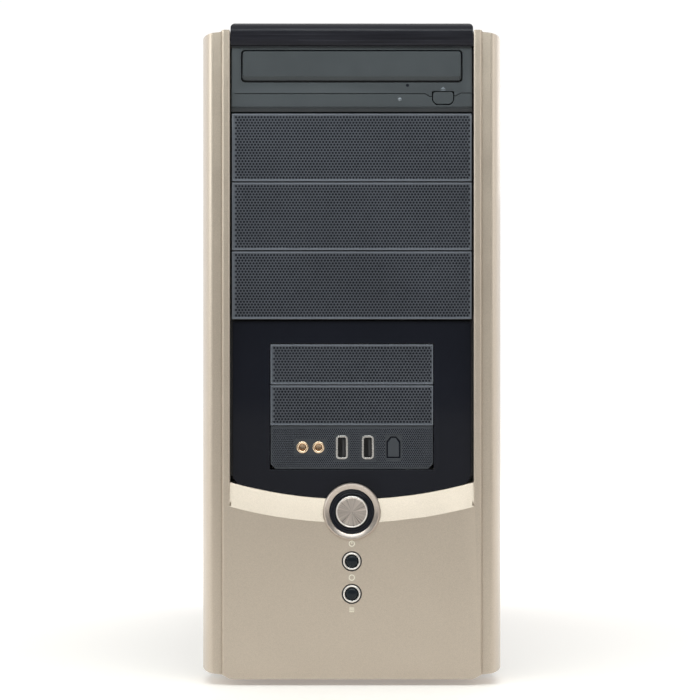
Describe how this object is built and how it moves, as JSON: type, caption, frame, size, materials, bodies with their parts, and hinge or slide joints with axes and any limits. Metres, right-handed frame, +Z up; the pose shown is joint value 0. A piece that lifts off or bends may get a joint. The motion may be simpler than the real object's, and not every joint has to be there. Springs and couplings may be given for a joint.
{
  "type": "desktop computer tower",
  "caption": "Upright computer case with a painted front bezel, dimpled bay covers, glossy port fascia, round power button, optical drive with sliding tray and removable side panels.",
  "frame": {"origin": "middle of the footprint, on the floor", "axes": "+Z up, the front looks along -Y, +X is to the right seen from the front"},
  "size_m": [0.186, 0.43, 0.4076],
  "materials": {
    "champagne_paint": "satin metallic",
    "gloss_black": "gloss",
    "charcoal_plastic": "satin",
    "drive_plastic": "satin",
    "inner_black": "matte",
    "champagne_metal": "spun",
    "bright_metal": "satin",
    "jack_metal": "polished",
    "smoked_plastic": "gloss",
    "white_plastic": "satin",
    "red_plastic": "satin",
    "circuit_board": "satin",
    "zinc_steel": "zinc plated",
    "cast_metal": "cast",
    "black_paint": "textured",
    "dark_screw": "black",
    "lead_sleeve": "matte",
    "foot_rubber": "matte"
  },
  "bodies": {
    "case": {"front_bezel": "champagne_paint", "bay_frame": "inner_black", "top_cap": "gloss_black", "gloss_fascia": "gloss_black", "bay_cover_1": "charcoal_plastic", "bay_cover_2": "charcoal_plastic", "bay_cover_3": "charcoal_plastic", "small_cover_1": "charcoal_plastic", "small_cover_2": "charcoal_plastic", "io_panel": "charcoal_plastic", "audio_jacks": "jack_metal", "usb_sockets": "bright_metal", "front_boards": "circuit_board", "button_collar": "champagne_metal", "power_light_ring": "gloss_black", "control_rings": "bright_metal", "activity_light": "smoked_plastic", "control_carrier": "inner_black", "drive_case": "zinc_steel", "drive_bezel": "drive_plastic", "drive_loader": "inner_black", "hard_drive": "cast_metal", "psu_case": "zinc_steel", "psu_cover": "zinc_steel", "psu_board": "circuit_board", "psu_fan_guard": "bright_metal", "mains_inlet": "inner_black", "motherboard": "circuit_board", "rear_sockets": "bright_metal", "io_shield": "bright_metal", "slot_covers": "zinc_steel", "cpu_heatsink": "cast_metal", "memory_modules": "circuit_board", "fan_frames": "inner_black", "chassis_base": "zinc_steel", "chassis_top": "black_paint", "chassis_rear": "zinc_steel", "chassis_front": "zinc_steel", "motherboard_tray": "zinc_steel", "wide_drive_cage": "zinc_steel", "small_drive_cage": "zinc_steel", "case_screws": "bright_metal", "internal_leads": "lead_sleeve", "feet": "foot_rubber"},
    "power_button": {"power_button": "champagne_metal"},
    "reset_button": {"reset_button": "smoked_plastic"},
    "eject_button": {"eject_button": "drive_plastic"},
    "disc_tray": {"disc_tray": "inner_black", "tray_front": "drive_plastic"},
    "disc_spindle": {"disc_spindle": "bright_metal"},
    "loading_gear": {"loading_gear": "white_plastic"},
    "psu_fan": {"psu_fan_rotor": "inner_black"},
    "rear_fan": {"rear_fan_rotor": "inner_black"},
    "cpu_fan": {"cpu_fan_rotor": "inner_black"},
    "mains_switch": {"mains_switch": "inner_black"},
    "voltage_selector": {"voltage_selector": "red_plastic"},
    "left_panel": {"left_side_panel": "black_paint", "left_thumbscrews": "dark_screw"},
    "right_panel": {"right_side_panel": "black_paint", "right_thumbscrews": "dark_screw"}
  },
  "joints": [
    {"name": "power_button_press", "type": "slide", "parent": "case", "child": "power_button", "axis": [0, 1, 0], "range_m": [0, 0.002], "stiffness_N_per_m": 600, "springref_m": -0.0015},
    {"name": "reset_button_press", "type": "slide", "parent": "case", "child": "reset_button", "axis": [0, 1, 0], "range_m": [0, 0.0015], "stiffness_N_per_m": 500, "springref_m": -0.0015},
    {"name": "eject_button_press", "type": "slide", "parent": "case", "child": "eject_button", "axis": [0, 1, 0], "range_m": [0, 0.001], "stiffness_N_per_m": 500, "springref_m": -0.001},
    {"name": "disc_tray_slide", "type": "slide", "parent": "case", "child": "disc_tray", "axis": [0, -1, 0], "range_m": [0, 0.15]},
    {"name": "loading_gear_turn", "type": "hinge", "parent": "case", "child": "loading_gear", "pos_m": [-0.0513, -0.194, 0.37], "axis": [0, 0, 1], "range_deg": [-1, 1076]},
    {"name": "disc_spindle_spin", "type": "hinge", "parent": "case", "child": "disc_spindle", "pos_m": [0, -0.1375, 0.365], "axis": [0, 0, 1], "continuous": true},
    {"name": "psu_fan_spin", "type": "hinge", "parent": "case", "child": "psu_fan", "pos_m": [-0.029, 0.191, 0.3548], "axis": [0, -1, 0], "continuous": true},
    {"name": "rear_fan_spin", "type": "hinge", "parent": "case", "child": "rear_fan", "pos_m": [-0.03265, 0.191, 0.2578], "axis": [0, -1, 0], "continuous": true},
    {"name": "cpu_fan_spin", "type": "hinge", "parent": "case", "child": "cpu_fan", "pos_m": [0.02, 0.104, 0.2408], "axis": [1, 0, 0], "continuous": true},
    {"name": "mains_switch_rock", "type": "hinge", "parent": "case", "child": "mains_switch", "pos_m": [0.051, 0.203, 0.3608], "axis": [0, 0, 1], "range_deg": [-22, 0]},
    {"name": "voltage_selector_slide", "type": "slide", "parent": "case", "child": "voltage_selector", "axis": [1, 0, 0], "range_m": [0, 0.011]},
    {"name": "left_panel_slide", "type": "slide", "parent": "case", "child": "left_panel", "axis": [0, 1, 0], "range_m": [0, 0.025]},
    {"name": "right_panel_slide", "type": "slide", "parent": "case", "child": "right_panel", "axis": [0, 1, 0], "range_m": [0, 0.025]}
  ],
  "couplings": [
    {"joint": "loading_gear_turn", "follows": "disc_tray_slide", "rad_per_m": 125}
  ]
}
